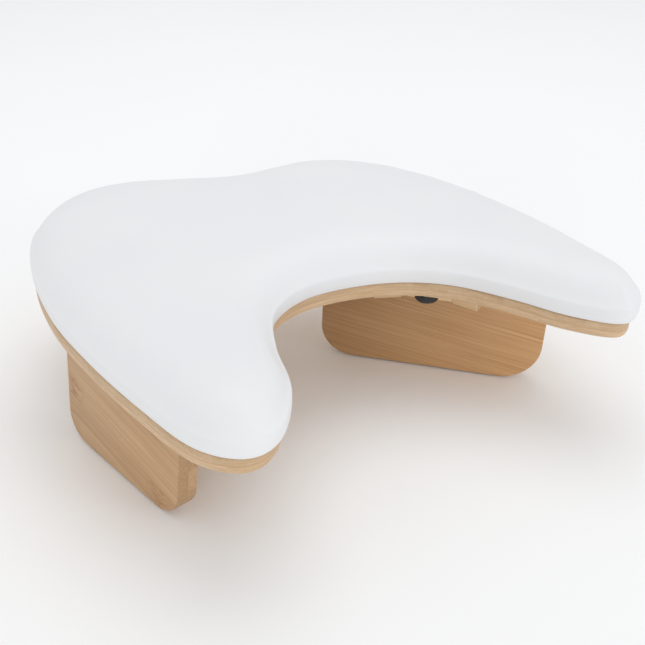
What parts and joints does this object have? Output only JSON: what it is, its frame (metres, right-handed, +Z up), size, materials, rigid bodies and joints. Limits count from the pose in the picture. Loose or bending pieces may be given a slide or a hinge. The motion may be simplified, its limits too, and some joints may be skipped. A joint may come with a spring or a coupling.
{
  "type": "manicure arm rest",
  "caption": "Padded whale-tail arm rest: white cushion on a bamboo board, standing on two swivelling bamboo panel legs held by hand knobs.",
  "frame": {"origin": "on the surface it stands on, under the middle of the cushion's outline", "axes": "+Z up, +Y towards the wide back edge, +X to the right seen from the open front bay"},
  "size_m": [0.4158, 0.4334, 0.1503],
  "materials": {
    "cover": "smooth white PU leather, satin",
    "foam": "polyurethane foam",
    "plywood": "plain plywood",
    "bamboo": "clear-lacquered laminated bamboo, satin",
    "brace_wood": "pale sanded wood",
    "rubber": "matte black rubber",
    "knob_plastic": "matte black plastic",
    "steel": "zinc-plated steel",
    "brass": "machined brass"
  },
  "bodies": {
    "top": {"cushion_cover": "cover", "foam_core": "foam", "backing_board": "plywood", "bamboo_board": "bamboo", "cushion_screw_1": "steel", "cushion_screw_2": "steel", "cushion_screw_3": "steel", "cushion_screw_4": "steel", "cushion_screw_5": "steel", "cushion_screw_6": "steel", "left_insert": "brass", "left_stop_dowel": "steel", "right_insert": "brass", "right_stop_dowel": "steel"},
    "left_leg": {"left_leg_panel": "bamboo", "left_foot_strip": "rubber", "left_brace_front": "brace_wood", "left_brace_back": "brace_wood", "left_bracket": "steel", "left_bracket_screw_1": "steel", "left_bracket_screw_2": "steel", "left_washer": "steel"},
    "left_knob": {"left_knob": "knob_plastic", "left_stud": "steel"},
    "right_leg": {"right_leg_panel": "bamboo", "right_foot_strip": "rubber", "right_brace_front": "brace_wood", "right_brace_back": "brace_wood", "right_bracket": "steel", "right_bracket_screw_1": "steel", "right_bracket_screw_2": "steel", "right_washer": "steel"},
    "right_knob": {"right_knob": "knob_plastic", "right_stud": "steel"}
  },
  "joints": [
    {"name": "left_leg_swivel", "type": "hinge", "parent": "top", "child": "left_leg", "pos_m": [-0.1453, -0.0171, 0.099], "axis": [0, 0, 1], "range_deg": [-25, 25]},
    {"name": "left_knob_turn", "type": "hinge", "parent": "top", "child": "left_knob", "pos_m": [-0.1453, -0.0171, 0.095], "axis": [0, 0, -1], "range_deg": [0, 360]},
    {"name": "right_leg_swivel", "type": "hinge", "parent": "top", "child": "right_leg", "pos_m": [0.0921, -0.0613, 0.099], "axis": [0, 0, 1], "range_deg": [-25, 25]},
    {"name": "right_knob_turn", "type": "hinge", "parent": "top", "child": "right_knob", "pos_m": [0.0921, -0.0613, 0.095], "axis": [0, 0, -1], "range_deg": [0, 360]}
  ]
}
